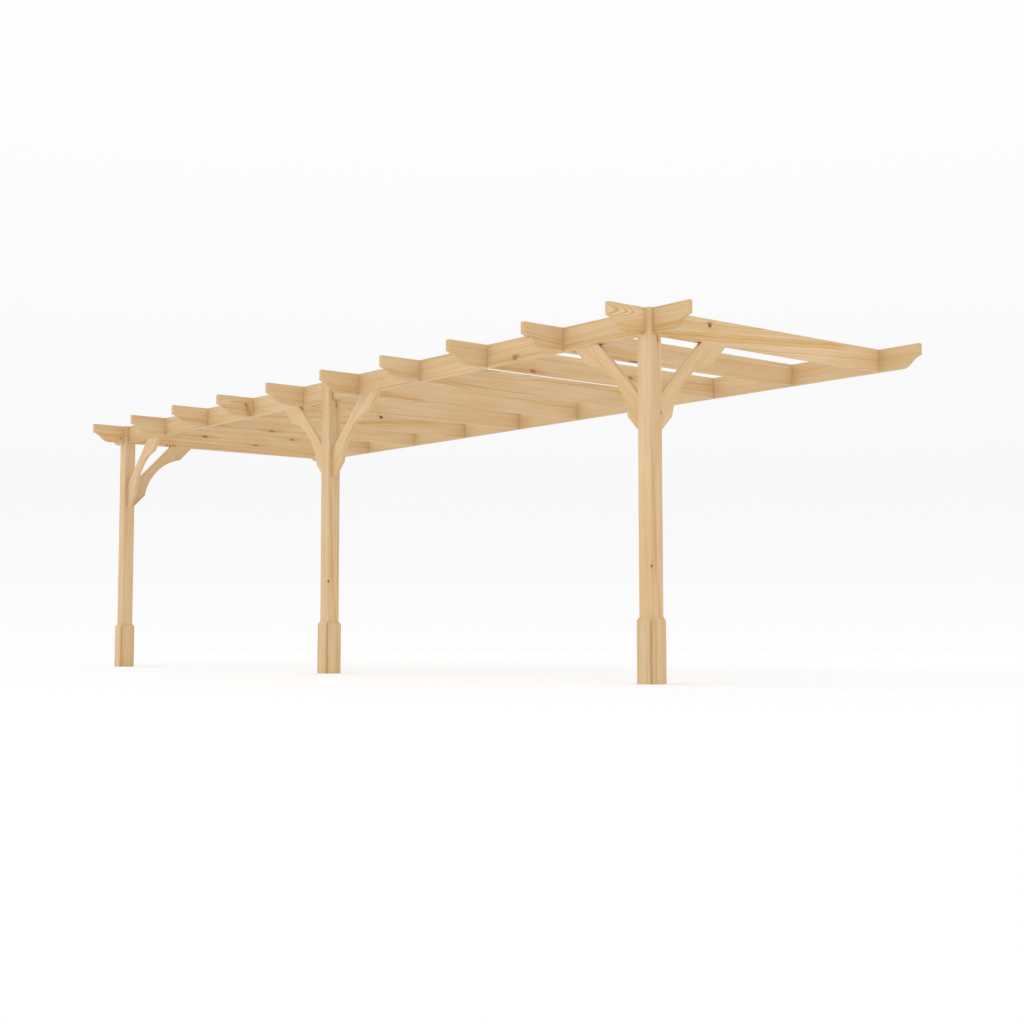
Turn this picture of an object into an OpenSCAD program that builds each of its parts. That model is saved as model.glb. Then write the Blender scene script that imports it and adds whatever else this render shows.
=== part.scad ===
// Wall-fixed timber pergola: three posts carry a front beam, ten rafters span
// from the beam to a ledger on the wall, and knee braces stiffen the posts.
// Millimetres, +Z up, +X to the right seen from the garden, +Y towards the wall.
// The origin is the middle of the ledger's wall face.

/* [Overall] */
// Height of the tops of all boards above the ground
overall_h = 2420; // [2000:10:3000]
// Distance between the centres of neighbouring posts
post_pitch = 3768; // [2400:1:4800]
// Distance from the posts' centre line to the wall
reach = 2395; // [1600:5:3600]

/* [Posts] */
// Width of the square posts
post_w = 110; // [90:1:140]

/* [Boards] */
// Thickness of the beam, ledger, rafter and brace boards
board_t = 36; // [24:1:50]
// Depth of the beam, ledger and rafters
board_d = 168; // [140:1:220]
// Play on each side of a board in a notch or post slot
fit_gap = 0.5; // [0.2:0.1:1]

/* [Shaped tails] */
// Overhang from the centre line of the crossing member to the tail's tip
tail = 372; // [320:1:480]
// Height of the upright nose at the tip
nose_h = 84; // [60:1:100]
// Length of the ogee curve behind the nose
ogee_run = 158; // [120:1:190]
// Bulge of each of the two arcs of the ogee
ogee_bulge = 8; // [2:1:14]

/* [Knee braces] */
// Drop from the beam's underside to the brace's toe on the post
brace_drop = 652; // [480:1:800]
// Width of the brace board
brace_w = 168; // [120:1:200]
// Straight length at each end of the brace's lower edge
brace_shoulder = 186; // [100:1:220]
// Depth of the hollow scooped out of the lower edge
scoop = 86; // [30:1:100]

/* [Post feet] */
// Height of the foot boards
foot_h = 425; // [200:5:600]
// Thickness of the foot boards
foot_t = 23; // [15:1:40]

/* [Hidden] */
RAFTERS = 10;
// Largest turn between two neighbouring points of an arc, in degrees
arc_step = 3;
// The origin lies on the ledger's mid-height, so the ground is this far below
ground_z = board_d / 2 - overall_h;
top_z = board_d / 2;
bottom_z = -board_d / 2;
// A halving joint takes half the depth out of each board
half_d = board_d / 2;
slot_w = board_t + 2 * fit_gap;
post_y = -reach;
post_left_x = -post_pitch;
post_middle_x = 0;
post_right_x = post_pitch;
rafter_pitch = 2 * post_pitch / (RAFTERS - 1);
ledger_y = -board_t / 2;
beam_l = 2 * (post_pitch + tail);
// Runs past a face that a cut starts on, so that no skin is left
past = 5;

// Where rafter n (1 is the left end) crosses the beam
function rafter_x(n) = -post_pitch + (n - 1) * rafter_pitch;

// Points between a and b on an arc that bulges to the left of a -> b, or to
// the right if the bulge is negative; a and b themselves are left out
function arc_between(a, b, bulge) =
  let (
    chord = norm(b - a),
    side = sign(bulge),
    r = (chord * chord / 4 + bulge * bulge) / (2 * abs(bulge)),
    left = [a[1] - b[1], b[0] - a[0]] / chord,
    centre = (a + b) / 2 - left * side * (r - abs(bulge)),
    start = atan2(a[1] - centre[1], a[0] - centre[0]),
    sweep = 2 * asin(chord / (2 * r)),
    steps = ceil(sweep / arc_step)
  )
  [for (i = [1 : steps - 1])
    let (turn = start - side * sweep * i / steps)
    centre + r * [cos(turn), sin(turn)]];

// A shaped tail's outline from the top of its nose, at x = 0, to its heel on
// the underside: an upright nose, a hollow arc and then a round one
function tail_points() =
  let (
    tip = [0, board_d - nose_h],
    heel = [ogee_run, 0],
    mid = (tip + heel) / 2
  )
  concat(
    [[0, board_d], tip],
    arc_between(tip, mid, ogee_bulge),
    [mid],
    arc_between(mid, heel, -ogee_bulge),
    [heel]
  );

// The same points seen from the far end of a board of this length
function far_tail_points(length) =
  let (near = tail_points(), last = len(near) - 1)
  [for (i = [0 : last]) [length - near[last - i][0], near[last - i][1]]];

// A board on edge along +x, its underside at z = 0, with a shaped tail at the
// start and either another at the far end or a square end
module tailed_board(length, both_ends) {
  far_end = both_ends ? far_tail_points(length) : [[length, 0], [length, board_d]];
  translate([0, board_t / 2, 0]) rotate([90, 0, 0]) linear_extrude(board_t)
    polygon(concat(tail_points(), far_end));
}

// A halving notch across a board that runs along x, cut from z_low upwards
module notch(x, z_low, height) {
  translate([x - slot_w / 2, -board_t / 2 - past, z_low])
    cube([slot_w, board_t + 2 * past, height]);
}

// The beam and the ledger: shaped tails both ends, notched on top for rafters
module long_board() {
  translate([0, 0, bottom_z]) difference() {
    translate([-beam_l / 2, 0, 0]) tailed_board(beam_l, true);
    for (n = [1 : RAFTERS]) notch(rafter_x(n), half_d, half_d + past);
  }
}

module front_beam() {
  color("burlywood") translate([0, post_y, 0]) long_board();
}

module wall_ledger() {
  color("burlywood") translate([0, ledger_y, 0]) long_board();
}

// A rafter: shaped tail in front, notched underneath over beam and ledger,
// its back end flush with the ledger's wall face
module rafter(n) {
  length = tail + reach;
  color("tan") translate([rafter_x(n), post_y - tail, bottom_z]) rotate([0, 0, 90])
    difference() {
      tailed_board(length, false);
      notch(tail, -past, half_d + past);
      notch(length + ledger_y, -past, half_d + past);
    }
}

// A post up to the boards' tops, slotted for the beam and, at the ends of the
// pergola, across for the end rafter as well
module post(x, crossed) {
  slot_l = post_w + 2 * past;
  color("wheat") translate([x, post_y, 0]) difference() {
    translate([-post_w / 2, -post_w / 2, ground_z])
      cube([post_w, post_w, overall_h]);
    translate([-slot_l / 2, -slot_w / 2, bottom_z])
      cube([slot_l, slot_w, board_d + past]);
    if (crossed) translate([-slot_w / 2, -slot_l / 2, bottom_z])
      cube([slot_w, slot_l, board_d + past]);
  }
}

// Side view of a knee brace at 45 degrees: x runs out from the post's face,
// y up to the board that it props at y = 0. The lower edge is straight near
// its ends and hollowed between them.
module brace_outline() {
  inner = brace_drop - brace_w * sqrt(2);
  toe = [0, -brace_drop];
  top = [brace_drop, 0];
  edge = (top - toe) / norm(top - toe);
  low = toe + edge * brace_shoulder;
  high = top - edge * brace_shoulder;
  polygon(concat(
    [toe, low],
    arc_between(low, high, scoop),
    [high, top, [inner, 0], [0, -inner]]
  ));
}

// A knee brace from a post's face, turned about z to the side it goes to
module brace(x, turn) {
  color("burlywood") translate([x, post_y, bottom_z]) rotate([0, 0, turn])
    translate([post_w / 2, board_t / 2, 0]) rotate([90, 0, 0])
      linear_extrude(board_t) brace_outline();
}

// A foot board on one face of a post, bevelled down from the post to its face
module foot_board(x, turn) {
  color("wheat") translate([x, post_y, ground_z]) rotate([0, 0, turn])
    translate([post_w / 2, post_w / 2, 0]) rotate([90, 0, 0])
      linear_extrude(post_w)
        polygon([[0, 0], [foot_t, 0], [foot_t, foot_h - foot_t], [0, foot_h]]);
}

post(post_left_x, true);  // post_left
post(post_middle_x, false);  // post_middle
post(post_right_x, true);  // post_right
front_beam();
wall_ledger();
rafter(1);  // rafter_1
rafter(2);  // rafter_2
rafter(3);  // rafter_3
rafter(4);  // rafter_4
rafter(5);  // rafter_5
rafter(6);  // rafter_6
rafter(7);  // rafter_7
rafter(8);  // rafter_8
rafter(9);  // rafter_9
rafter(10);  // rafter_10
brace(post_left_x, 90);  // brace_left_side
brace(post_left_x, 0);  // brace_left_front
brace(post_middle_x, 180);  // brace_middle_left
brace(post_middle_x, 0);  // brace_middle_right
brace(post_right_x, 180);  // brace_right_front
brace(post_right_x, 90);  // brace_right_side
foot_board(post_left_x, 270);  // left_foot_front_board
foot_board(post_left_x, 90);  // left_foot_back_board
foot_board(post_left_x, 180);  // left_foot_left_board
foot_board(post_left_x, 0);  // left_foot_right_board
foot_board(post_middle_x, 270);  // middle_foot_front_board
foot_board(post_middle_x, 90);  // middle_foot_back_board
foot_board(post_middle_x, 180);  // middle_foot_left_board
foot_board(post_middle_x, 0);  // middle_foot_right_board
foot_board(post_right_x, 270);  // right_foot_front_board
foot_board(post_right_x, 90);  // right_foot_back_board
foot_board(post_right_x, 180);  // right_foot_left_board
foot_board(post_right_x, 0);  // right_foot_right_board
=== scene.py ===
# %% [markdown]
# # A garden pergola in planed pine
#
# The object is a lean-to pergola. Three square posts stand in the garden and
# carry a long front beam. Ten rafters lie across that beam and over a ledger
# board, whose back face goes against a house wall. Knee braces stiffen the
# posts and four short boards wrap each foot.
#
# The joinery was drawn as exact solids beforehand, and this script dresses it:
# it eases the sharp corners, grows a pine grain through every board, and sets
# up the floor, light and camera. All positions are in metres. The origin is the
# middle of the ledger's wall face, X runs along the wall, Y points into the
# wall and Z points up.

# %% Load the joinery
import math
from random import Random

import bpy
from mathutils import Matrix, Vector


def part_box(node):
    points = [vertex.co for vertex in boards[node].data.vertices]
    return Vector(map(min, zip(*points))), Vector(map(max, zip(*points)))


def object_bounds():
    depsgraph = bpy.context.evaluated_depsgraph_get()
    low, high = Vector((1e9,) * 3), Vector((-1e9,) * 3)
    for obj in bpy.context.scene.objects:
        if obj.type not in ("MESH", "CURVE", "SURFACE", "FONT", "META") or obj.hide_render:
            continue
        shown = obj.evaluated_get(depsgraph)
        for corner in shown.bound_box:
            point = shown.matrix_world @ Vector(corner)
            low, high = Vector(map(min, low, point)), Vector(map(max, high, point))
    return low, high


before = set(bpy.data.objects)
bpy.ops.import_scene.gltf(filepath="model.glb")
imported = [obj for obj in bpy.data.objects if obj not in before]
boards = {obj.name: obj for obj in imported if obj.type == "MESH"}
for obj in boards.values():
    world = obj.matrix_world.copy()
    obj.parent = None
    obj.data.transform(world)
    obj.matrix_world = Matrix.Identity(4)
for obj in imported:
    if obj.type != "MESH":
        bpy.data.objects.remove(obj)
joinery_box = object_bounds()
ground = joinery_box[0].z
bpy.ops.object.select_all(action="DESELECT")
print("boards:", len(boards), "box:", [tuple(round(v, 3) for v in c) for c in joinery_box])

# %% [markdown]
# ## Eased corners
#
# A planing mill rounds the long corners of garden timber a little, because a
# knife-sharp corner splinters. The rounding also catches the light, and without
# it a board looks like cut paper.
#
# The corners could be rounded by hand in edit mode, but each board would then
# have to be replaced. Modifiers do it without touching the exact shape. The
# boards arrive as loose triangles, so Weld joins them and Decimate, set to
# dissolve flat areas only, gives back clean faces. Bevel then rounds each edge
# that turns sharply and leaves the small steps of the curved cuts alone.
# Weighted Normal keeps the big faces looking flat next to the rounding.

# %% Ease the corners of every board
POST_EASE = 0.0025
BOARD_EASE = 0.0012
# Each rounding is made of this many flats
EASE_STEPS = 3
# Points closer than this are the same point
SAME_POINT = 1e-5
# An edge that turns less than this lies inside a flat face
FLAT_TURN = math.radians(1)
# An edge that turns more than this is a corner
CORNER_TURN = math.radians(25)


def ease_corners(board, radius):
    """Joins the board's triangles and rounds its sharp edges by this radius."""
    board.data.polygons.foreach_set("use_smooth", [True] * len(board.data.polygons))
    weld = board.modifiers.new("join triangles", "WELD")
    weld.merge_threshold = SAME_POINT
    flat = board.modifiers.new("clean flat faces", "DECIMATE")
    flat.decimate_type = "DISSOLVE"
    flat.angle_limit = FLAT_TURN
    ease = board.modifiers.new("eased corners", "BEVEL")
    ease.width = radius
    ease.segments = EASE_STEPS
    ease.limit_method = "ANGLE"
    ease.angle_limit = CORNER_TURN
    shade = board.modifiers.new("even shading", "WEIGHTED_NORMAL")
    shade.keep_sharp = False


for name, board in boards.items():
    ease_corners(board, POST_EASE if name.startswith("post") else BOARD_EASE)
print("eased", len(boards), "pieces: boards by", BOARD_EASE * 1000, "mm, posts by", POST_EASE * 1000, "mm")

# %% [markdown]
# ## Small helpers for shader nodes
#
# A material in Blender is a graph of nodes. Building one in code takes many
# lines of "make a node, set a value, draw a wire", so these helpers say each
# step in one line: `add` makes a node and fills its inputs in order, `calc`
# does one sum, and `fade` is a soft step from one value to another.


# %% Helpers for single nodes
def plug_in(tree, plug, socket):
    """Wires a socket to the input, or sets a plain value on it."""
    if isinstance(plug, bpy.types.NodeSocket):
        tree.links.new(plug, socket)
    else:
        socket.default_value = plug


def add(tree, kind, *plugs, **settings):
    """Adds a node with these settings. Each plug fills the next input, and None leaves it as it is."""
    made = tree.nodes.new("ShaderNode" + kind)
    for setting, value in settings.items():
        setattr(made, setting, value)
    for socket, plug in zip(made.inputs, plugs):
        if plug is not None:
            plug_in(tree, plug, socket)
    return made


def calc(tree, operation, *plugs):
    """One sum on numbers."""
    return add(tree, "Math", *plugs, operation=operation).outputs[0]


def vector_calc(tree, operation, *plugs):
    """One sum on vectors; lengths, distances and dot products come out as numbers."""
    made = add(tree, "VectorMath", *plugs, operation=operation)
    return made.outputs["Value" if operation in ("LENGTH", "DISTANCE", "DOT_PRODUCT") else "Vector"]


def scaled(tree, vector, factor):
    """A vector made longer or shorter by a number."""
    made = add(tree, "VectorMath", vector, operation="SCALE")
    plug_in(tree, factor, made.inputs["Scale"])
    return made.outputs["Vector"]


def fade(tree, value, start, end, low=0.0, high=1.0):
    """A soft step: low below start, high above end."""
    made = add(tree, "MapRange", value, start, end, low, high, interpolation_type="SMOOTHSTEP")
    return made.outputs["Result"]


def noise(tree, vector, detail=2.0, roughness=0.5):
    """Smooth random cloud, one unit to a lump. Gives its number and its colour."""
    made = add(tree, "TexNoise", vector, None, 1.0, detail, roughness)
    return made.outputs[0], made.outputs[1]


def tint(tree, share, first, second, how="MIX"):
    """Mixes two colours."""
    made = tree.nodes.new("ShaderNodeMix")
    made.data_type, made.blend_type = "RGBA", how
    # The Mix node has sockets for each kind of data; inputs 6 and 7 and output 2 are its colours
    for socket, plug in ((made.inputs[0], share), (made.inputs[6], first), (made.inputs[7], second)):
        plug_in(tree, plug, socket)
    return made.outputs[2]


print("node helpers ready")

# %% [markdown]
# ## Small helpers for node groups
#
# Every board needs the same grain, knots and paints. A node group is a piece of
# graph that is built once and placed in each material with its own values, so a
# change to it changes all boards alike. These helpers build a group and place
# it. The paints are written as on a paint chart, and `paint` turns them into
# the light values that shaders count in.


# %% Helpers for node groups and colours
def new_group(name, inputs, outputs):
    """An empty node group with named sockets. Gives its tree, what comes in and what goes out."""
    tree = bpy.data.node_groups.new(name, "ShaderNodeTree")
    for label, value in inputs.items():
        kind = "NodeSocketVector" if isinstance(value, tuple) else "NodeSocketFloat"
        tree.interface.new_socket(label, in_out="INPUT", socket_type=kind).default_value = value
    for label, kind in outputs.items():
        tree.interface.new_socket(label, in_out="OUTPUT", socket_type="NodeSocket" + kind)
    return tree, tree.nodes.new("NodeGroupInput").outputs, tree.nodes.new("NodeGroupOutput").inputs


def send(tree, outputs, **results):
    """Wires finished values to a group's outputs."""
    for label, value in results.items():
        tree.links.new(value, outputs[label])


def place_group(tree, name, **values):
    """Puts a node group into a material and fills its named inputs; _ stands for a space in a name."""
    made = tree.nodes.new("ShaderNodeGroup")
    made.node_tree = bpy.data.node_groups[name]
    for label, value in values.items():
        plug_in(tree, value, made.inputs[label.replace("_", " ")])
    return made.outputs


def paint(red, green, blue):
    """A colour from 0 to 255, as on a paint chart, turned into light by the usual curve for screens."""
    chart = [value / 255 for value in (red, green, blue)]
    light = [c / 12.92 if c < 0.04045 else ((c + 0.055) / 1.055) ** 2.4 for c in chart]
    return (*light, 1.0)


print("group helpers ready")

# %% [markdown]
# ## Knots
#
# A knot is the root of a branch. The trunk's grain flows round it like water
# round a stone, the knot itself is a brown disc with a darker rim, and the wood
# near it is warmer in colour, in a haze drawn out along the grain.
#
# A knot could be painted on top of the grain, but then the lines would run
# straight through it. Here each knot is a node group that also says how far it
# pushes the grain aside, and the grain is drawn after that. It adds its own
# heart and haze to what earlier knots have left, so several of them in a row
# give a board several knots.

# %% Node group: one knot
# How uneven the outline is, in knot sizes, and how many lumps it has to the metre
RAGGED, RAGGED_LUMPS = 0.7, 95.0
# Each of these fades from the first distance to the second, counted in knot sizes
HEART_FADE = (0.55, 1.3)
RIM_FADE = (0.2, 0.7)
HAZE_FADE = (0.4, 2.8)
PUSH_FADE = (0.9, 3.6)
# The middle's share of the rim's darkness
MIDDLE_DARKNESS = 0.7
# The haze is drawn out this much further than the knot, and a black dead knot loses this share of it
HAZE_STRETCH = 2.2
DEAD_HAZE_LOSS = 0.8
# Beside a knot the grain is taken from this share nearer its middle, which bows the lines outwards
GRAIN_PUSH = 0.75

tree, given, result = new_group(
    "knot",
    {"Place": (0.0, 0.0, 0.0), "Middle": (0.0, 0.0, 0.0), "Size": 0.012, "Stretch": 1.4, "Depth": 0.1,
     "Darkness": 1.0, "Strength": 1.0, "Push": 0.0, "Heart": 0.0, "Dark": 0.0, "Haze": 0.0},
    {"Push": "Float", "Heart": "Float", "Dark": "Float", "Haze": "Float"},
)
away = vector_calc(tree, "SUBTRACT", given["Place"], given["Middle"])
along, across, through = add(tree, "SeparateXYZ", away).outputs
ragged, _ = noise(tree, scaled(tree, given["Place"], RAGGED_LUMPS), detail=1.0)
ragged = calc(tree, "MULTIPLY_ADD", ragged, RAGGED, -RAGGED / 2)


def reach_of(drawn_out):
    """How many knot sizes away a point is, with the knot this much longer along the grain."""
    length = calc(tree, "DIVIDE", along, calc(tree, "MULTIPLY", given["Stretch"], drawn_out))
    depth = calc(tree, "MULTIPLY", through, given["Depth"])
    oval = add(tree, "CombineXYZ", length, across, depth).outputs[0]
    return calc(tree, "ADD", calc(tree, "DIVIDE", vector_calc(tree, "LENGTH", oval), given["Size"]), ragged)


reach = reach_of(1.0)
heart = calc(tree, "MULTIPLY", fade(tree, reach, *HEART_FADE, 1.0, 0.0), given["Strength"])
rim = calc(tree, "MULTIPLY", fade(tree, reach, *RIM_FADE, MIDDLE_DARKNESS, 1.0), given["Darkness"])
dark = calc(tree, "MULTIPLY", rim, heart)
haze = calc(tree, "MULTIPLY", fade(tree, reach_of(HAZE_STRETCH), *HAZE_FADE, 1.0, 0.0), given["Strength"])
haze = calc(tree, "MULTIPLY", haze, calc(tree, "MULTIPLY_ADD", given["Darkness"], -DEAD_HAZE_LOSS, 1.0))
push = calc(tree, "MULTIPLY", across, fade(tree, reach, *PUSH_FADE, -GRAIN_PUSH, 0.0))
send(
    tree, result,
    Push=calc(tree, "ADD", push, given["Push"]),
    Heart=calc(tree, "MAXIMUM", heart, given["Heart"]),
    Dark=calc(tree, "MAXIMUM", dark, given["Dark"]),
    Haze=calc(tree, "MAXIMUM", haze, given["Haze"]),
)
print("knot group:", len(tree.nodes), "nodes")

# %% [markdown]
# ## Pine grain
#
# A tree adds one ring a year: pale wood in spring, then a thin brown line in
# late summer. A board shows how the saw met those rings. Cut beside the heart,
# it shows long straight lines. Cut further out, the rings graze its face and
# give the pointed arches that joiners call cathedral figure.
#
# Lines could be drawn on each face, but they would not meet at the corners. So
# the rings are made in the solid: each point of the board knows how far it lies
# from the heart of its tree, which runs beside the board, slightly tilted and
# bent. Every face, curve and sawn end is then cut through the same rings.

# %% Node group: how far a point lies from the heart of the tree
# How long and how broad the lumps of the slow bend, the quick waver, the fibres and the tone are
BEND_LUMP = (1.3, 0.5)
WAVER_LUMP = (0.2, 0.04)
FIBRE_LUMP = (0.16, 0.0022)
CLOUD_LUMP = (0.6, 0.12)
# How far the quick waver moves the rings
WAVER = 0.006
# Each step of the seed moves a board this far along the random clouds, so that no two boards share them
SEED_STRIDE = 3.71

tree, given, result = new_group(
    "pine rings",
    {"Place": (0.0, 0.0, 0.0), "Push": 0.0, "Seed": 0.0, "Heart Across": 0.0, "Heart Behind": 0.09,
     "Slope": 0.0, "Ring Width": 0.009, "Bend": 0.03, "Arch": 0.05, "Arch From": -0.3, "Arch To": 0.3},
    {"Line": "Float", "Band": "Float", "Fibre": "Float", "Cloud": "Float"},
)
far_along = calc(tree, "MULTIPLY", given["Seed"], SEED_STRIDE)
shift = add(tree, "CombineXYZ", far_along, given["Seed"], given["Seed"]).outputs[0]
aside = add(tree, "CombineXYZ", None, given["Push"], None).outputs[0]
place = vector_calc(tree, "ADD", given["Place"], aside)
along = add(tree, "SeparateXYZ", place).outputs["X"]


def cloud_of(lump, **look):
    """Random cloud with lumps this long and this broad, in the board's own stretch of it."""
    length, breadth = lump
    size = (1 / length, 1 / breadth, 1 / breadth)
    spot = vector_calc(tree, "ADD", vector_calc(tree, "MULTIPLY", place, size), shift)
    return noise(tree, spot, **look)


def sway_of(cloud, amount):
    """Turns a cloud's colour, whose middle is grey, into a small move to any side."""
    return scaled(tree, vector_calc(tree, "SUBTRACT", cloud, (0.5, 0.5, 0.5)), amount)


bend = sway_of(cloud_of(BEND_LUMP, detail=1.0)[1], given["Bend"])
waver = sway_of(cloud_of(WAVER_LUMP, detail=3.0)[1], WAVER)
tilt = calc(tree, "MULTIPLY_ADD", along, given["Slope"], given["Heart Across"])
arch = add(tree, "MapRange", along, given["Arch From"], given["Arch To"], 0.0, given["Arch"])
depth = calc(tree, "ADD", given["Heart Behind"], arch.outputs["Result"])
behind = calc(tree, "MULTIPLY", depth, -1.0)
heart = add(tree, "CombineXYZ", along, tilt, behind).outputs[0]
radius = vector_calc(tree, "SUBTRACT", place, heart)
radius = vector_calc(tree, "ADD", vector_calc(tree, "ADD", radius, bend), waver)
# The heart runs along the board, so only the two directions across it count
radius = vector_calc(tree, "LENGTH", vector_calc(tree, "MULTIPLY", radius, (0.0, 1.0, 1.0)))
print("distance to the heart:", len(tree.nodes), "nodes")

# %% [markdown]
# The distance, divided by the width of a ring, counts the years. What is left
# after whole years tells the season. Some years are wetter than others, so the
# count is made uneven, and the lines are stronger in some places than in
# others. A band of a few years is sometimes rich in resin.

# %% Node group: rings, bands and fibres
# How fast the weather changes from ring to ring, and by how many rings it moves a line
WEATHER_STEP, WEATHER = 0.31, 2.2
# Where in a ring its wood darkens, slowly, and where it turns pale again for the next spring
SUMMER_RISE = (0.4, 0.86)
SUMMER_END = (0.87, 1.0)
# Patches of strong lines and of resin: metres along the board, years across it, and a shift
LINE_PATCH, LINE_FADE, FAINT_LINE = (1.1, 2.4, 0.0), (0.32, 0.68), 0.12
BAND_PATCH, BAND_FADE = (2.2, 5.0, 7.3), (0.48, 0.68)

years = calc(tree, "DIVIDE", radius, given["Ring Width"])
weather = add(
    tree, "TexNoise", None, calc(tree, "MULTIPLY_ADD", years, WEATHER_STEP, given["Seed"]), 1.0, 1.0,
    noise_dimensions="1D",
).outputs[0]
years = calc(tree, "MULTIPLY_ADD", weather, WEATHER, years)
season = calc(tree, "FRACT", years)
summer = calc(tree, "MULTIPLY", fade(tree, season, *SUMMER_RISE), fade(tree, season, *SUMMER_END, 1.0, 0.0))


def by_year(length, years_each, step):
    """A cloud that changes slowly along the board and from ring to ring."""
    spot = add(
        tree, "CombineXYZ", calc(tree, "DIVIDE", along, length), calc(tree, "DIVIDE", years, years_each),
        calc(tree, "ADD", given["Seed"], step),
    ).outputs[0]
    return noise(tree, spot)[0]


line = calc(tree, "MULTIPLY", summer, fade(tree, by_year(*LINE_PATCH), *LINE_FADE, FAINT_LINE, 1.0))
band = fade(tree, by_year(*BAND_PATCH), *BAND_FADE)
fibre, _ = cloud_of(FIBRE_LUMP, detail=3.0, roughness=0.65)
cloud, _ = cloud_of(CLOUD_LUMP, detail=2.0)
send(tree, result, Line=line, Band=band, Fibre=fibre, Cloud=cloud)
print("ring group:", len(tree.nodes), "nodes")

# %% [markdown]
# ## Streaks
#
# Pine has resin in it. Where it gathers, a soft orange streak follows the grain
# for a metre or so and then fades. On a few boards these streaks are what the
# eye notices first, so they are listed one by one: a line along the board, with
# a height at the middle, a slope, a width and two ends.

# %% Node group: one resin streak
# A streak sways within a lane this broad
SWAY = 0.03
# How many lumps the sway and the fine threads have to the metre, along the grain and both ways across
SWAY_LUMPS = (2.2, 3.0, 3.0)
THREAD_LUMPS = (5.0, 260.0, 260.0)
# Threads fade from pale to full between these two values of their cloud
THREAD_FADE, PALE_THREAD = (0.25, 0.65), 0.45
# A streak fades out sideways, counted in widths, and towards its ends, in metres
SIDE_FADE = (0.1, 1.2)
END_FADE = (0.0, 0.3)

tree, given, result = new_group(
    "streak",
    {"Place": (0.0, 0.0, 0.0), "Height": 0.0, "Slope": 0.0, "Width": 0.01, "From": -0.5, "To": 0.5,
     "Strength": 0.7, "Streak": 0.0},
    {"Streak": "Float"},
)
along, across, _ = add(tree, "SeparateXYZ", given["Place"]).outputs
sway, _ = noise(tree, vector_calc(tree, "MULTIPLY", given["Place"], SWAY_LUMPS), detail=2.0)
middle = calc(tree, "MULTIPLY_ADD", along, given["Slope"], given["Height"])
middle = calc(tree, "ADD", middle, calc(tree, "MULTIPLY_ADD", sway, SWAY, -SWAY / 2))
off = calc(tree, "DIVIDE", calc(tree, "ABSOLUTE", calc(tree, "SUBTRACT", across, middle)), given["Width"])
threads, _ = noise(tree, vector_calc(tree, "MULTIPLY", given["Place"], THREAD_LUMPS), detail=2.0)
threads = fade(tree, threads, *THREAD_FADE, PALE_THREAD, 1.0)
body = calc(tree, "MULTIPLY", fade(tree, off, *SIDE_FADE, 1.0, 0.0), threads)
start = fade(tree, calc(tree, "SUBTRACT", along, given["From"]), *END_FADE)
end = fade(tree, calc(tree, "SUBTRACT", given["To"], along), *END_FADE)
body = calc(tree, "MULTIPLY", body, calc(tree, "MULTIPLY", start, end))
body = calc(tree, "MULTIPLY", body, given["Strength"])
send(tree, result, Streak=calc(tree, "MAXIMUM", body, given["Streak"]))
print("streak group:", len(tree.nodes), "nodes")

# %% [markdown]
# ## From grain to colour
#
# Fresh planed pine is a pale straw colour. Late-summer lines are tan, resin
# makes streaks of orange, and knots are brown with a darker rim. End grain
# drinks light and is a little deeper. The eased corners are painted a little
# paler, a painted highlight where the rounding would catch the light. All of
# this goes through one node group, so that every board is the same timber,
# and each board only brings its own lightness and the strength of its figure.
# Inside a streak the summer lines soak up more resin than the wood between
# them, so the streak is laid on with the lines.
#
# The same masks set how shiny and how raised the wood is. The hard summer lines
# stand a hair proud and polish brighter, and knots are hard and smooth.

# %% The timber's paints and how strongly each is laid on
SAPWOOD = paint(220, 190, 148)
SAPWOOD_DEEP = paint(214, 181, 135)
SUMMER_LINE = paint(183, 138, 82)
RESIN = paint(195, 145, 62)
HAZE = paint(193, 136, 64)
KNOT = paint(163, 105, 30)
KNOT_DARK = paint(97, 42, 5)
END_GRAIN = paint(203, 168, 122)
# A painted highlight: the eased corners are painted this paler colour, as if they caught the light
PAINTED_CORNER_HIGHLIGHT = paint(227, 200, 161)

# The wood turns from the first sapwood colour to the second between these values of its cloud
TONE_FADE = (0.3, 0.7)
# How strongly summer lines are drawn where the figure is 1, and how much more inside a streak
LINE_SHARE, LINE_SHARE_IN_STREAK = 0.6, 0.7
# Resin between the lines, and what the lines add to it
BAND_SHARE, BAND_SHARE_ON_LINE = 0.2, 0.5
STREAK_SHARE, STREAK_SHARE_ON_LINE = 0.75, 0.45
# How fully the other paints cover the wood
HAZE_SHARE = 0.5
END_SHARE = 0.35
# How fully the painted highlight covers the eased corners
PAINTED_CORNER_HIGHLIGHT_SHARE = 0.3
KNOT_SHARE = 0.92
# A dark fibre leaves this share of the light, and a pale one adds up to this much to it
FIBRE_LOW, FIBRE_GAIN = 0.82, 0.36
# What each mask adds to the roughness and to the height
PLAIN_ROUGHNESS = 0.54
ROUGHER = {"Line": -0.08, "Fibre": 0.08, "Heart": -0.05, "Edge": -0.08, "End": 0.16}
RAISED = {"Line": 0.5, "Fibre": 0.35, "Heart": -0.5}
print("sapwood", [round(v, 3) for v in SAPWOOD[:3]], "knot", [round(v, 3) for v in KNOT[:3]])

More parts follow.
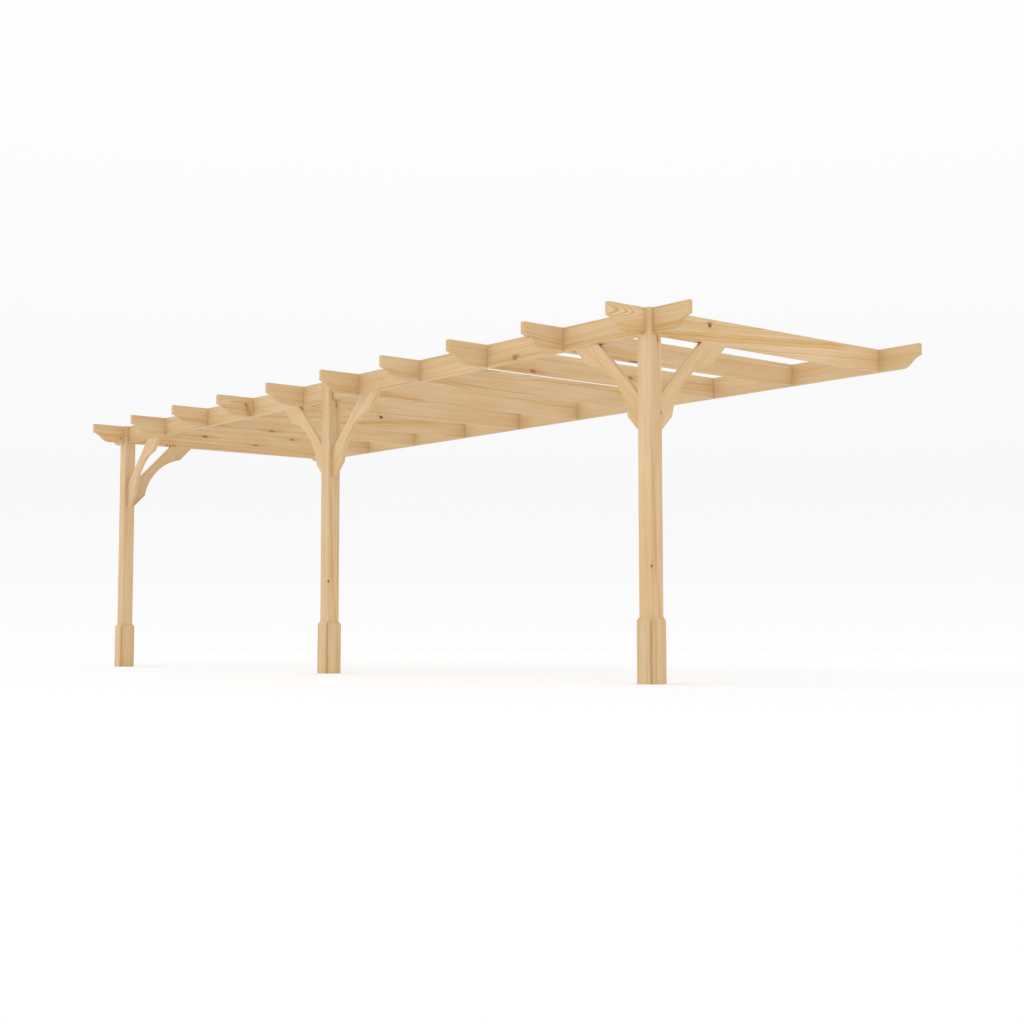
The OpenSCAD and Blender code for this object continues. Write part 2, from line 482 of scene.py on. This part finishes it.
# %% Node group: pine colour, roughness and height
tree, given, result = new_group(
    "pine colour",
    {"Line": 0.0, "Band": 0.0, "Fibre": 0.5, "Cloud": 0.5, "Streak": 0.0, "Heart": 0.0, "Dark": 0.0,
     "Haze": 0.0, "End": 0.0, "Edge": 0.0, "Lightness": 1.0, "Figure": 1.0},
    {"Color": "Color", "Roughness": "Float", "Height": "Float"},
)
figure = calc(tree, "MULTIPLY", given["Figure"], LINE_SHARE)
share = calc(tree, "MULTIPLY_ADD", given["Streak"], LINE_SHARE_IN_STREAK, figure)
wood = tint(tree, fade(tree, given["Cloud"], *TONE_FADE), SAPWOOD, SAPWOOD_DEEP)
wood = tint(tree, calc(tree, "MULTIPLY", given["Line"], share), wood, SUMMER_LINE)
warm = calc(tree, "MULTIPLY_ADD", given["Line"], BAND_SHARE_ON_LINE, BAND_SHARE)
warm = calc(tree, "MULTIPLY", given["Band"], warm)
wood = tint(tree, calc(tree, "MULTIPLY", warm, given["Figure"]), wood, RESIN)
resin = calc(tree, "MULTIPLY_ADD", given["Line"], STREAK_SHARE_ON_LINE, STREAK_SHARE)
wood = tint(tree, calc(tree, "MULTIPLY", given["Streak"], resin), wood, RESIN)
wood = tint(tree, calc(tree, "MULTIPLY", given["Haze"], HAZE_SHARE), wood, HAZE)
wood = tint(tree, calc(tree, "MULTIPLY", given["End"], END_SHARE), wood, END_GRAIN)
# Painted highlight: the eased corners are made paler
wood = tint(tree, calc(tree, "MULTIPLY", given["Edge"], PAINTED_CORNER_HIGHLIGHT_SHARE), wood, PAINTED_CORNER_HIGHLIGHT)
knot = tint(tree, given["Dark"], KNOT, KNOT_DARK)
wood = tint(tree, calc(tree, "MULTIPLY", given["Heart"], KNOT_SHARE), wood, knot)
light = calc(tree, "MULTIPLY_ADD", given["Fibre"], FIBRE_GAIN, FIBRE_LOW)
light = calc(tree, "MULTIPLY", light, given["Lightness"])
wood = tint(tree, 1.0, wood, add(tree, "CombineXYZ", light, light, light).outputs[0], "MULTIPLY")
rough = PLAIN_ROUGHNESS
for mask, change in ROUGHER.items():
    rough = calc(tree, "MULTIPLY_ADD", given[mask], change, rough)
height = 0.0
for mask, rise in RAISED.items():
    height = calc(tree, "MULTIPLY_ADD", given[mask], rise, height)
send(tree, result, Color=wood, Roughness=rough, Height=height)
print("colour group:", len(tree.nodes), "nodes")

# %% [markdown]
# ## Which way each board's grain runs
#
# A joiner always lays the grain along a board, because wood is strong that way.
# Each board therefore needs its own axes: along the grain, across the broad
# face and through the thickness. The posts and foot boards stand up, the beam
# and ledger run along X, the rafters along Y, and the braces lean at 45 degrees.

# %% Board axes
UP, RIGHT, TO_WALL = Vector((0, 0, 1)), Vector((1, 0, 0)), Vector((0, 1, 0))
# The side that each brace leans out to, and the side that its broad face looks to
BRACE_LEANS = {
    "brace_left_side": (TO_WALL, RIGHT), "brace_right_side": (TO_WALL, RIGHT),
    "brace_left_front": (RIGHT, -TO_WALL), "brace_middle_right": (RIGHT, -TO_WALL),
    "brace_middle_left": (-RIGHT, -TO_WALL), "brace_right_front": (-RIGHT, -TO_WALL),
}
FACINGS = {"front": -TO_WALL, "back": TO_WALL, "left": -RIGHT, "right": RIGHT}


def grain_axes(name):
    """The board's directions along the grain and through its thickness."""
    if name.startswith("post"):
        return UP, RIGHT
    if name.startswith("rafter"):
        return TO_WALL, RIGHT
    if name in BRACE_LEANS:
        out, face = BRACE_LEANS[name]
        return (out + UP).normalized(), face
    if "foot" in name:
        # Such as left_foot_front_board: the third word is the side that it faces
        return UP, FACINGS[name.split("_")[2]]
    return RIGHT, -TO_WALL


def board_space(name):
    """The turn into the board's own axes, and the board's middle."""
    along, through = grain_axes(name)
    turn = Matrix((along, through.cross(along), through))
    low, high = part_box(name)
    return turn, (low + high) / 2


for name in ("post_right", "rafter_10", "brace_right_side"):
    print(name, "grain along", tuple(round(v, 2) for v in grain_axes(name)[0]))

# %% [markdown]
# ## The character of each board
#
# No two boards are alike, so each draws its own seed, ring width and place in
# the tree. The draw is seeded, which gives the same boards on every run. What
# the eye would miss if it moved is written down by board instead: the knots,
# the resin streaks, the slope of the grain on two boards with a lively figure,
# how strongly the rings show, and how light the board is.
#
# A knot's row holds its place in the room, its size, how much longer than
# wide it is, how dark it is and how clearly it shows. Pine has small black dead
# knots and larger brown live ones, and darkness tells them apart.

# %% Knots, board by board
# Place, size, stretch along the grain, darkness, strength
KNOTS = {
    "post_right": [
        ((3.823, -2.442, -1.587), 0.0085, 1.2, 0.9, 1.0),
        ((3.823, -2.373, -0.118), 0.0075, 3.5, 0.15, 0.8),
        ((3.823, -2.345, -0.598), 0.0065, 2.0, 0.4, 0.9),
    ],
    "post_middle": [
        ((0.055, -2.442, -1.583), 0.0095, 1.3, 1.0, 1.0),
        ((0.055, -2.379, -0.125), 0.0075, 3.5, 0.15, 0.8),
    ],
    "rafter_10": [
        ((3.786, -1.846, 0.043), 0.018, 1.15, 0.8, 1.0),
        ((3.786, -1.942, -0.086), 0.011, 2.5, 0.3, 0.7),
    ],
    "rafter_9": [((2.948, -1.74, -0.084), 0.010, 6.0, 0.2, 0.9)],
    "rafter_8": [
        ((2.112, -0.982, -0.014), 0.013, 2.4, 0.1, 0.9),
        ((2.112, -1.982, -0.066), 0.014, 2.4, 0.2, 0.95),
    ],
    # The last four lie one below the other and make a feather that runs down the tail
    "rafter_4": [
        ((-1.238, -1.036, 0.031), 0.018, 1.3, 1.0, 1.0),
        ((-1.238, -2.489, 0.018), 0.02, 0.65, 0.25, 0.85),
        ((-1.238, -2.478, -0.012), 0.032, 0.55, 0.0, 0.5),
        ((-1.238, -2.464, -0.042), 0.034, 0.65, 0.0, 0.42),
        ((-1.238, -2.452, -0.07), 0.032, 0.7, 0.0, 0.38),
    ],
    "rafter_3": [((-2.077, -1.723, -0.074), 0.010, 3.5, 0.1, 0.9)],
    "rafter_2": [
        ((-2.913, -0.985, -0.018), 0.012, 2.6, 0.15, 0.9),
        ((-2.913, -1.985, -0.066), 0.014, 2.4, 0.15, 0.95),
    ],
    "rafter_1": [
        ((-3.75, -0.93, 0.006), 0.012, 2.6, 0.15, 0.9),
        ((-3.75, -1.968, -0.07), 0.009, 1.0, 0.4, 1.0),
        ((-3.75, -1.94, -0.072), 0.009, 1.0, 0.4, 1.0),
        ((-3.75, -1.911, -0.073), 0.009, 1.0, 0.6, 1.0),
        ((-3.75, -1.882, -0.071), 0.009, 1.0, 0.4, 1.0),
        ((-3.75, -2.486, -0.039), 0.009, 1.0, 0.8, 0.9),
    ],
    "front_beam": [
        ((2.424, -2.413, -0.053), 0.021, 1.4, 0.0, 0.9),
        ((2.43, -2.413, -0.05), 0.011, 4.0, 0.0, 0.6),
        ((3.31, -2.413, -0.084), 0.010, 3.0, 0.3, 0.8),
    ],
}
print("knots placed:", sum(len(rows) for rows in KNOTS.values()))

# %% Streaks, board by board
# Height at the middle of the board, slope, width, from, to, strength
POST_STREAKS = [
    (0.027, 0.036, 0.016, -0.66, 0.4, 0.75), (0.01, 0.036, 0.015, -1.3, -0.42, 0.75),
    (-0.074, 0.05, 0.006, 0.3, 1.3, 0.55), (-0.038, 0.0, 0.006, -0.6, 0.3, 0.35),
]
FOOT_STREAKS = [(0.043, 0.0, 0.014, -0.6, 0.6, 0.4), (-0.03, 0.01, 0.013, -0.6, 0.6, 0.35)]
STREAKS = {
    "rafter_10": [
        (-0.002, 0.07, 0.018, -1.4, 1.1, 1.0), (-0.026, 0.07, 0.011, -1.25, 1.1, 0.9),
        (0.016, 0.068, 0.009, -0.9, 1.0, 0.85), (-0.1, 0.045, 0.009, 0.5, 1.6, 0.3),
        (-0.09, -0.03, 0.014, -1.55, -0.8, 0.55),
    ],
    "rafter_9": [
        (0.07, 0.0, 0.006, 0.9, 1.8, 0.6), (-0.072, 0.0, 0.01, -1.0, 0.1, 0.55),
        (-0.135, -0.09, 0.01, -1.6, -0.8, 0.75), (-0.112, -0.09, 0.006, -1.6, -0.8, 0.6),
    ],
    "rafter_8": [
        (-0.062, 0.0, 0.01, -1.2, -0.2, 0.6), (0.022, 0.0, 0.009, 0.8, 1.8, 0.65),
        (-0.032, 0.0, 0.007, 0.7, 1.8, 0.55), (-0.045, 0.0, 0.006, -1.1, -0.3, 0.35),
    ],
    "rafter_7": [
        (-0.113, -0.07, 0.012, -1.6, -0.9, 0.45), (-0.137, -0.07, 0.009, -1.6, -0.9, 0.35),
        (-0.111, -0.09, 0.0055, -1.2, -0.25, 1.3), (-0.121, -0.068, 0.005, -1.3, -0.4, 1.2),
        (-0.077, -0.03, 0.006, -0.7, 0.4, 0.6), (0.055, -0.012, 0.009, -0.1, 1.5, 0.5),
    ],
    "rafter_6": [
        (-0.123, -0.07, 0.012, -1.6, -0.9, 0.45), (-0.143, -0.065, 0.01, -1.6, -0.9, 0.45),
        (-0.091, -0.055, 0.0055, -1.2, -0.2, 1.2), (-0.095, -0.04, 0.0065, -1.2, -0.2, 1.2),
        (-0.078, -0.02, 0.006, -0.5, 0.5, 0.5), (0.05, -0.024, 0.009, -0.1, 1.5, 0.55),
    ],
    "rafter_5": [
        (-0.123, -0.07, 0.01, -1.6, -0.8, 0.4), (-0.075, -0.02, 0.006, -0.7, 0.4, 0.6),
        (0.035, -0.024, 0.007, 0.0, 1.5, 0.55),
    ],
    "rafter_4": [
        (-0.053, 0.088, 0.014, -0.3, 1.1, 1.05), (-0.041, 0.09, 0.005, -0.2, 1.3, 1.1),
        (-0.085, 0.088, 0.007, 0.2, 1.3, 0.4), (-0.14, -0.09, 0.01, -1.6, -1.0, 0.6),
    ],
    "rafter_3": [
        (-0.07, 0.0, 0.01, -1.2, 0.3, 0.45), (0.05, -0.02, 0.008, -0.2, 1.3, 0.35),
        (-0.123, -0.07, 0.012, -1.6, -0.6, 0.7),
    ],
    "rafter_2": [
        (-0.062, 0.0, 0.01, -1.2, -0.2, 0.55), (0.022, 0.0, 0.009, 0.8, 1.8, 0.6),
        (-0.032, 0.0, 0.007, 0.7, 1.8, 0.5),
    ],
    "rafter_1": [
        (-0.06, -0.01, 0.014, -1.2, 0.6, 0.6), (0.049, -0.075, 0.012, 0.3, 1.6, 0.6),
        (0.01, -0.01, 0.01, -1.0, 0.8, 0.4), (-0.04, -0.02, 0.01, -1.6, -0.9, 0.65),
        (0.03, -0.02, 0.008, -1.6, -0.9, 0.45),
    ],
    "front_beam": [
        (-0.058, 0.0, 0.008, 2.0, 2.95, 0.8), (-0.046, 0.0, 0.006, 2.0, 2.7, 0.6),
        (-0.072, 0.0, 0.009, 0.2, 2.1, 0.55), (-0.045, 0.0, 0.01, 2.7, 4.4, 0.65),
        (-0.06, 0.0, 0.005, 2.8, 4.4, 0.5), (-0.07, 0.0, 0.008, -3.0, -1.0, 0.35),
    ],
    "wall_ledger": [(0.075, 0.0, 0.008, 2.0, 3.9, 0.5), (0.055, 0.0, 0.005, 1.9, 3.5, 0.4)],
    "post_right": POST_STREAKS,
    "post_middle": POST_STREAKS,
    "right_foot_front_board": FOOT_STREAKS,
    "right_foot_right_board": FOOT_STREAKS,
    "middle_foot_front_board": FOOT_STREAKS,
    "middle_foot_right_board": FOOT_STREAKS,
    "left_foot_right_board": FOOT_STREAKS,
}
print("streaks placed:", sum(len(rows) for rows in STREAKS.values()))

# %% Figure and lightness, board by board
# Heart of the tree: height, slope, depth behind the board's middle and ring width,
# then how much deeper it gets, and the two places along the board between which it does
GRAIN = {
    "rafter_10": (0.105, 0.05, 0.035, 0.0085, 0.065, -1.40, -0.75),
    "rafter_4": (0.13, 0.08, 0.06, 0.0085, 0.02, -0.2, 0.4),
}
# How strongly the rings show, board by board, and on the rest of each kind
FIGURE = {
    "rafter_10": 1.35, "rafter_9": 1.2, "rafter_8": 1.1, "rafter_4": 1.4, "rafter_2": 1.1, "rafter_1": 1.5,
    "front_beam": 1.1, "wall_ledger": 0.7, "post_left": 0.8, "post_middle": 1.0, "post_right": 1.1,
}
PLAIN_FIGURE = {"rafter": 0.75, "brace": 0.8, "foot": 0.5}
# How light each board is; the boards that are not listed draw theirs
LIGHTNESS = {
    "front_beam": 0.955, "wall_ledger": 0.93, "post_left": 0.915, "post_middle": 0.935, "post_right": 0.97,
    "rafter_1": 0.955, "rafter_2": 0.935, "rafter_3": 0.94, "rafter_4": 0.965, "rafter_5": 0.95,
    "rafter_6": 0.95, "rafter_7": 0.945, "rafter_8": 0.965, "rafter_9": 0.97, "rafter_10": 1.02,
    "brace_left_side": 0.9, "brace_left_front": 0.99, "brace_middle_left": 0.985,
    "brace_middle_right": 0.965, "brace_right_front": 0.97, "brace_right_side": 0.985,
    "left_foot_front_board": 0.945, "left_foot_right_board": 0.89, "middle_foot_front_board": 0.91,
    "middle_foot_right_board": 0.945, "right_foot_front_board": 0.89, "right_foot_right_board": 0.945,
}


def figure_of(name):
    """How strongly the rings show on a board."""
    if name in FIGURE:
        return FIGURE[name]
    return next(figure for kind, figure in PLAIN_FIGURE.items() if kind in name)


print("figure by board:", len(FIGURE), "lightness by board:", len(LIGHTNESS))

# %% [markdown]
# What isn't written down is drawn. Every board draws the same set of numbers in
# the same order, even where a row above then takes their place, so that a
# change to one board leaves all others as they are.

# %% What a board draws for itself
# The lowest and highest that each may come out
DRAWN = {
    "seed": (0, 60),
    "arch starts": (-1.2, 1.0),
    "heart to the side": (0.08, 0.22),
    "slope": (-0.01, 0.01),
    "heart behind": (0.04, 0.12),
    "ring width": (0.006, 0.009),
    "arch": (-0.03, 0.03),
    "arch length": (0.3, 1.2),
    "lightness": (0.93, 0.98),
}
EITHER_SIDE = (-1, 1)
draw = Random(36)


def draw_one(what):
    """Draws one of a board's numbers."""
    return draw.uniform(*DRAWN[what])


def draw_board():
    """Draws a board's seed, its heart as a row of GRAIN, and its lightness."""
    seed = draw_one("seed")
    arch_starts = draw_one("arch starts")
    heart = (
        draw_one("heart to the side") * draw.choice(EITHER_SIDE), draw_one("slope"),
        draw_one("heart behind") * draw.choice(EITHER_SIDE), draw_one("ring width"),
        draw_one("arch"), arch_starts, arch_starts + draw_one("arch length"),
    )
    return seed, heart, draw_one("lightness")


print("each board draws", len(DRAWN), "numbers")

# %% [markdown]
# ## One material for each board
#
# The material reads Object coordinates, which are metres in the room, and a
# Mapping node moves and turns them into the board's own axes. The knots, the
# rings and the streaks follow in a row, and the colour group turns them into
# colour, roughness and height for the Principled shader. How squarely a face
# looks along the grain tells where end grain shows.

# %% Steps of a board's material
# How much depth counts in a knot's shape: it runs right through a board, but not through a post
BOARD_KNOT_DEPTH = 0.1
POST_KNOT_DEPTH = 0.8
# How far the heart bends, in a short or narrow piece and in a long board
NARROW_BEND = 0.02
LONG_BEND = 0.04
# How squarely a face looks along the grain to be end grain
END_FACE = (0.75, 0.98)
# How squarely a corner looks to the broad side: more than the narrow face does, less than the broad one
CORNER_STARTS = (0.1, 0.35)
CORNER_ENDS = (0.94, 0.995)
# A corner that looks along the grain as much as this belongs to a sawn end
CORNER_BESIDE_END = (0.3, 0.5)


def to_board(tree, name):
    """Object coordinates in the board's own axes, counted from its middle."""
    turn, middle = board_space(name)
    mapping = add(tree, "Mapping", add(tree, "TexCoord").outputs["Object"], vector_type="POINT")
    mapping.inputs["Location"].default_value = -(turn @ middle)
    mapping.inputs["Rotation"].default_value = turn.to_euler("XYZ")
    return mapping.outputs[0]


def chain_knots(tree, name, place):
    """Adds the board's knots one after the other and gives the masks that they leave."""
    turn, middle = board_space(name)
    marks = {"Push": 0.0, "Heart": 0.0, "Dark": 0.0, "Haze": 0.0}
    for spot, size, stretch, darkness, strength in KNOTS.get(name, []):
        knot = place_group(
            tree, "knot", Place=place, Middle=turn @ (Vector(spot) - middle), Size=size, Stretch=stretch,
            Depth=POST_KNOT_DEPTH if name.startswith("post") else BOARD_KNOT_DEPTH,
            Darkness=darkness, Strength=strength, **marks,
        )
        marks = {label: knot[label] for label in marks}
    return marks


def chain_streaks(tree, name, place):
    """Adds the board's streaks one after the other and gives their mask."""
    streak = 0.0
    for height, slope, width, start, end, strength in STREAKS.get(name, []):
        streak = place_group(
            tree, "streak", Place=place, Height=height, Slope=slope, Width=width, From=start,
            To=end, Strength=strength, Streak=streak,
        )["Streak"]
    return streak


def cut_masks(tree, name):
    """Masks of the sawn ends and of the eased corners along the board."""
    along, through = grain_axes(name)
    outward = add(tree, "NewGeometry").outputs["True Normal"]
    endwise = calc(tree, "ABSOLUTE", vector_calc(tree, "DOT_PRODUCT", outward, tuple(along)))
    broadside = calc(tree, "ABSOLUTE", vector_calc(tree, "DOT_PRODUCT", outward, tuple(through)))
    past_side = fade(tree, broadside, *CORNER_STARTS)
    short_of_face = fade(tree, broadside, *CORNER_ENDS, 1.0, 0.0)
    corner = calc(tree, "MULTIPLY", past_side, short_of_face)
    corner = calc(tree, "MULTIPLY", corner, fade(tree, endwise, *CORNER_BESIDE_END, 1.0, 0.0))
    return fade(tree, endwise, *END_FACE), corner


print("material steps ready")

# %% Build the pine for every board
RELIEF_STRENGTH = 0.35
# The height of a full rise in the grain, in metres
RELIEF_DEPTH = 0.0006


def pine_for(name):
    """Makes the board's own pine and returns the material."""
    material = bpy.data.materials.new("pine_" + name)
    material.use_nodes = True
    tree = material.node_tree
    tree.nodes.clear()
    place = to_board(tree, name)
    marks = chain_knots(tree, name, place)
    seed, drawn_heart, drawn_lightness = draw_board()
    across, slope, behind, ring_width, arch, start, end = GRAIN.get(name, drawn_heart)
    rings = place_group(
        tree, "pine rings", Place=place, Push=marks["Push"], Seed=seed, Heart_Across=across,
        Heart_Behind=behind, Slope=slope, Ring_Width=ring_width, Arch=arch, Arch_From=start, Arch_To=end,
        Bend=LONG_BEND if name.startswith(("rafter", "front", "wall")) else NARROW_BEND,
    )
    streak = chain_streaks(tree, name, place)
    # The corner mask carries the painted highlight on the eased corners and makes them a little smoother
    end_face, corner = cut_masks(tree, name)
    look = place_group(
        tree, "pine colour", Line=rings["Line"], Band=rings["Band"], Fibre=rings["Fibre"],
        Cloud=rings["Cloud"], Streak=streak, Heart=marks["Heart"], Dark=marks["Dark"], Haze=marks["Haze"],
        End=end_face, Edge=corner, Lightness=LIGHTNESS.get(name, drawn_lightness), Figure=figure_of(name),
    )
    relief = add(tree, "Bump", RELIEF_STRENGTH, RELIEF_DEPTH)
    tree.links.new(look["Height"], relief.inputs["Height"])
    surface = tree.nodes.new("ShaderNodeBsdfPrincipled")
    tree.links.new(look["Color"], surface.inputs["Base Color"])
    tree.links.new(look["Roughness"], surface.inputs["Roughness"])
    tree.links.new(relief.outputs[0], surface.inputs["Normal"])
    tree.links.new(surface.outputs[0], tree.nodes.new("ShaderNodeOutputMaterial").inputs["Surface"])
    return material


for name in sorted(boards):
    slot = boards[name].material_slots[0]
    slot.link = "OBJECT"
    slot.material = pine_for(name)
print("pine made for", len(boards), "boards")

# %% [markdown]
# ## Floor
#
# A product like this is shown on a white studio floor that has no edge. A large
# flat disc does that. Round the pergola it is plain matt white and takes the
# soft shade under the boards. Beyond it, seen from the corner of the garden
# that people stand in, it fades into the colour of the backdrop, so that no
# horizon line shows.

# %% Model the floor
FLOOR_REACH = 120.0
# The disc has this many sides, and a ring this broad is set off along its rim
FLOOR_SIDES = 96
FLOOR_RIM = FLOOR_REACH * 0.8
bpy.ops.mesh.primitive_circle_add(
    vertices=FLOOR_SIDES, radius=FLOOR_REACH, fill_type="NGON", location=(0, 0, ground)
)
floor = bpy.context.object
floor.name = "floor"
bpy.ops.object.mode_set(mode="EDIT")
bpy.ops.mesh.select_all(action="SELECT")
bpy.ops.mesh.inset(thickness=FLOOR_RIM)
bpy.ops.object.mode_set(mode="OBJECT")
bpy.ops.object.transform_apply(location=True)
print("floor at z =", round(ground, 4), "with", len(floor.data.polygons), "faces")

# %% Paint the floor
FLOOR_WHITE = 0.985
# How white the floor and the backdrop are where they meet
HORIZON = 0.984
# The floor turns into the backdrop between these distances from the corner of the garden
GARDEN_CORNER = (11.0, -9.5, ground)
FLOOR_FADE = (17.0, 34.0)
white = bpy.data.materials.new("studio_floor")
white.use_nodes = True
tree = white.node_tree
tree.nodes.clear()
matt = tree.nodes.new("ShaderNodeBsdfPrincipled")
matt.inputs["Base Color"].default_value = (FLOOR_WHITE, FLOOR_WHITE, FLOOR_WHITE, 1)
matt.inputs["Roughness"].default_value = 1.0
matt.inputs["Specular IOR Level"].default_value = 0.0
far_white = tree.nodes.new("ShaderNodeEmission")
far_white.inputs["Color"].default_value = (HORIZON, HORIZON, HORIZON, 1)
distance = vector_calc(tree, "DISTANCE", add(tree, "TexCoord").outputs["Object"], GARDEN_CORNER)
seen_far = calc(
    tree, "MULTIPLY", fade(tree, distance, *FLOOR_FADE), add(tree, "LightPath").outputs["Is Camera Ray"]
)
blend = add(tree, "MixShader", seen_far, matt.outputs[0], far_white.outputs[0])
tree.links.new(blend.outputs[0], tree.nodes.new("ShaderNodeOutputMaterial").inputs["Surface"])
floor.data.materials.append(white)
print("floor fades from", FLOOR_FADE[0], "to", FLOOR_FADE[1], "metres")

# %% [markdown]
# ## Light
#
# A studio lights a large object with big soft sources, so there are hardly any
# cast shadows and the shape is told by the soft darkening in corners. Lamps
# could stand for these sources, but a world that is brighter in some directions
# does the same with less noise: softboxes in front and at both ends, an even
# glow from everywhere else, and nothing extra from the side of the house.
#
# The camera sees the world too, as the backdrop. It is given its own colour
# there, a near-white that gets lighter with height, by asking Light Path
# whether a ray comes from the camera. Shiny wood mirrors that backdrop too.

# %% World
# How bright the even glow is, and what each softbox adds straight in front of it
GLOW, FRONT_BOX, RIGHT_BOX, LEFT_BOX = 0.635, 0.57, 0.53, 0.755
# How white the backdrop looks at each height, as a share of straight up
BACKDROP = (
    (0.0, HORIZON), (0.022, 0.972), (0.05, 0.95), (0.1, 0.944), (0.2, 0.965), (0.3, 0.985), (0.4, 0.999)
)
world = bpy.data.worlds.new("studio")
bpy.context.scene.world = world
world.use_nodes = True
tree = world.node_tree
tree.nodes.clear()
right, back, rise = add(tree, "SeparateXYZ", add(tree, "TexCoord").outputs["Generated"]).outputs
glow = GLOW
for aim, sign, strength in ((back, -1.0, FRONT_BOX), (right, 1.0, RIGHT_BOX), (right, -1.0, LEFT_BOX)):
    facing = calc(tree, "MAXIMUM", calc(tree, "MULTIPLY", aim, sign), 0.0)
    glow = calc(tree, "MULTIPLY_ADD", facing, strength, glow)
dome = tree.nodes.new("ShaderNodeBackground")
tree.links.new(add(tree, "CombineXYZ", glow, glow, glow).outputs[0], dome.inputs["Color"])

shown = tree.nodes.new("ShaderNodeBackground")
backdrop = add(tree, "ValToRGB", rise)
stops = backdrop.color_ramp.elements
for place, shade in BACKDROP:
    stop = stops[0] if place == 0 else stops.new(place)
    stop.color = (shade, shade, shade, 1)
# Straight up it is pure white
stops[-1].color = (1, 1, 1, 1)
tree.links.new(backdrop.outputs["Color"], shown.inputs["Color"])
path = add(tree, "LightPath").outputs
seen = calc(tree, "MAXIMUM", path["Is Glossy Ray"], path["Is Transmission Ray"])
seen = calc(tree, "MAXIMUM", path["Is Camera Ray"], seen)
both = add(tree, "MixShader", seen, dome.outputs[0], shown.outputs[0])
tree.links.new(both.outputs[0], tree.nodes.new("ShaderNodeOutputWorld").inputs["Surface"])
print("world: glow", GLOW, "boxes", FRONT_BOX, RIGHT_BOX, LEFT_BOX)

# %% [markdown]
# ## Camera
#
# The camera sits low, about 0.3 m above the ground, off the right-hand corner of
# the pergola, and looks slightly upwards at the roof. A lens a little longer
# than normal keeps the near post from looming.

# %% Set the camera
EYE = Vector((11.0254, -9.5107, -2.0214))
HEADING, PITCH, LEAN = math.radians(50.587), math.radians(4.433), math.radians(-0.057)
# Both in millimetres
LENS, FILM_WIDTH = 55.61, 36.0
# How far the camera sees, in metres, which takes in the whole floor
SIGHT = 400.0
camera = bpy.data.objects.new("camera", bpy.data.cameras.new("camera"))
bpy.context.scene.collection.objects.link(camera)
camera.data.lens, camera.data.sensor_width = LENS, FILM_WIDTH
camera.data.clip_end = SIGHT
camera.location = EYE
look_along = Vector(
    (-math.sin(HEADING) * math.cos(PITCH), math.cos(HEADING) * math.cos(PITCH), math.sin(PITCH))
)
upright = look_along.to_track_quat("-Z", "Y").to_matrix()
camera.rotation_euler = (upright @ Matrix.Rotation(LEAN, 3, "Z")).to_euler()
bpy.context.scene.camera = camera
bpy.context.scene.view_settings.view_transform = "Standard"
print("camera", tuple(round(v, 3) for v in EYE), "lens", LENS, "mm, height", round(EYE.z - ground, 2), "m")
